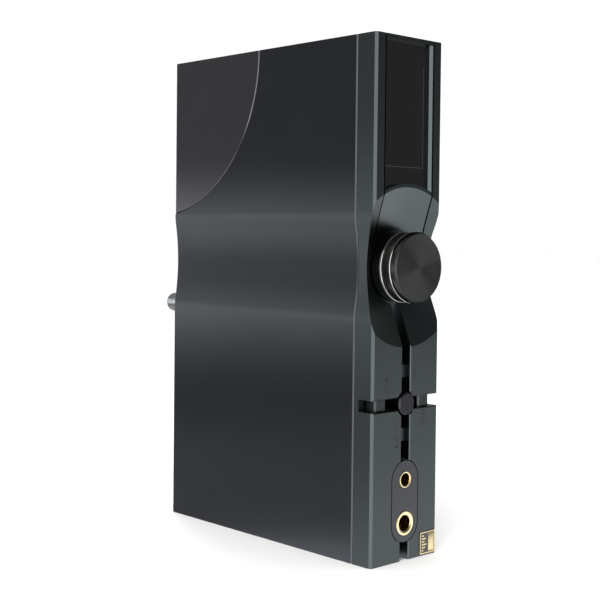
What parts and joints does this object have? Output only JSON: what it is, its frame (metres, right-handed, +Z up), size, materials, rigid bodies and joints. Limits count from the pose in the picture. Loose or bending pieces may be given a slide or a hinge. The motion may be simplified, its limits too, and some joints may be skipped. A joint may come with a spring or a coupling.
{
  "type": "digital audio player",
  "caption": "Slab-shaped music player standing on its short end, waisted broad faces, narrow control face with recessed display, dished volume knob, cross keys and phone sockets.",
  "frame": {"origin": "centre of the flat bottom face of the body, midway between the rear plate and the control face and between the two broad faces", "axes": "+Z up the long side, +X out of the narrow control face with the knob, -Y out of the broad face with the quarter-round corner insert"},
  "size_m": [0.1035, 0.0282, 0.15],
  "materials": {
    "panel_anodised": "bead-blasted, dark teal-grey anodised",
    "cover_anodised": "fine satin, blue-black anodised",
    "insert_anodised": "satin, slightly warmer grey anodised",
    "end_anodised": "satin anodised",
    "knob_metal": "turned, circular-brushed, dark anodised",
    "knob_grip": "knurled, dark anodised",
    "button_metal": "turned, satin anodised",
    "key_metal": "satin anodised",
    "jack_plate_anodised": "fine satin grey anodised",
    "socket_gold": "polished, gold plated",
    "badge_gold": "satin gold plate",
    "bright_chrome": "polished",
    "cover_glass": "tinted, polished",
    "display_black": "glossy display panel",
    "flex_amber": "polyimide ribbon",
    "steel": "zinc plated",
    "brass_posts": "turned",
    "moulded_black": "moulded",
    "circuit_board": "solder-masked glass laminate",
    "capacitor_sleeve": "shrink sleeve",
    "battery_foil": "laminated foil pouch"
  },
  "bodies": {
    "player_body": {"antenna_connector": "bright_chrome", "antenna_nut": "steel", "badge_plate": "badge_gold", "battery": "battery_foil", "board_screws": "steel", "board_standoffs": "brass_posts", "bottom_plate": "end_anodised", "card_socket": "steel", "corner_insert": "insert_anodised", "dac_board": "circuit_board", "dac_shield": "steel", "display_bezel": "panel_anodised", "display_flex": "flex_amber", "display_glass": "cover_glass", "display_module": "display_black", "encoder_bushing": "steel", "encoder_housing": "moulded_black", "encoder_nut": "steel", "encoder_washer": "steel", "filter_capacitors": "capacitor_sleeve", "front_panel": "panel_anodised", "jack_body_large": "moulded_black", "jack_body_small": "moulded_black", "jack_plate": "jack_plate_anodised", "jack_sleeve_large": "socket_gold", "jack_sleeve_small": "socket_gold", "main_board": "circuit_board", "panel_brackets": "steel", "panel_screws": "steel", "processor_shield": "steel", "radio_shield": "steel", "rear_plate": "end_anodised", "rear_screws": "steel", "side_cover_left": "cover_anodised", "side_cover_right": "cover_anodised", "switch_board": "circuit_board", "tact_switches": "moulded_black", "top_plate": "end_anodised", "usb_port": "steel", "usb_tongue": "moulded_black"},
    "knob": {"volume_knob": "knob_metal", "knob_grip_ring": "knob_grip", "knob_face_cap": "knob_metal", "knob_grub_screw": "steel", "encoder_shaft": "steel"},
    "centre_button": {"centre_button": "button_metal", "centre_button_retainer": "moulded_black"},
    "key_up": {"key_up": "key_metal", "key_up_retainer": "moulded_black"},
    "key_down": {"key_down": "key_metal", "key_down_retainer": "moulded_black"},
    "key_left": {"key_left": "key_metal", "key_left_retainer": "moulded_black"},
    "key_right": {"key_right": "key_metal", "key_right_retainer": "moulded_black"}
  },
  "joints": [
    {"name": "knob_turn", "type": "hinge", "parent": "player_body", "child": "knob", "pos_m": [0.0458, 0, 0.0844], "axis": [1, 0, 0], "continuous": true},
    {"name": "centre_button_press", "type": "slide", "parent": "player_body", "child": "centre_button", "axis": [-1, 0, 0], "range_m": [0, 0.00035], "stiffness_N_per_m": 300},
    {"name": "key_up_press", "type": "slide", "parent": "player_body", "child": "key_up", "axis": [-1, 0, 0], "range_m": [0, 0.00035], "stiffness_N_per_m": 300},
    {"name": "key_down_press", "type": "slide", "parent": "player_body", "child": "key_down", "axis": [-1, 0, 0], "range_m": [0, 0.00035], "stiffness_N_per_m": 300},
    {"name": "key_left_press", "type": "slide", "parent": "player_body", "child": "key_left", "axis": [-1, 0, 0], "range_m": [0, 0.00035], "stiffness_N_per_m": 300},
    {"name": "key_right_press", "type": "slide", "parent": "player_body", "child": "key_right", "axis": [-1, 0, 0], "range_m": [0, 0.00035], "stiffness_N_per_m": 300}
  ]
}
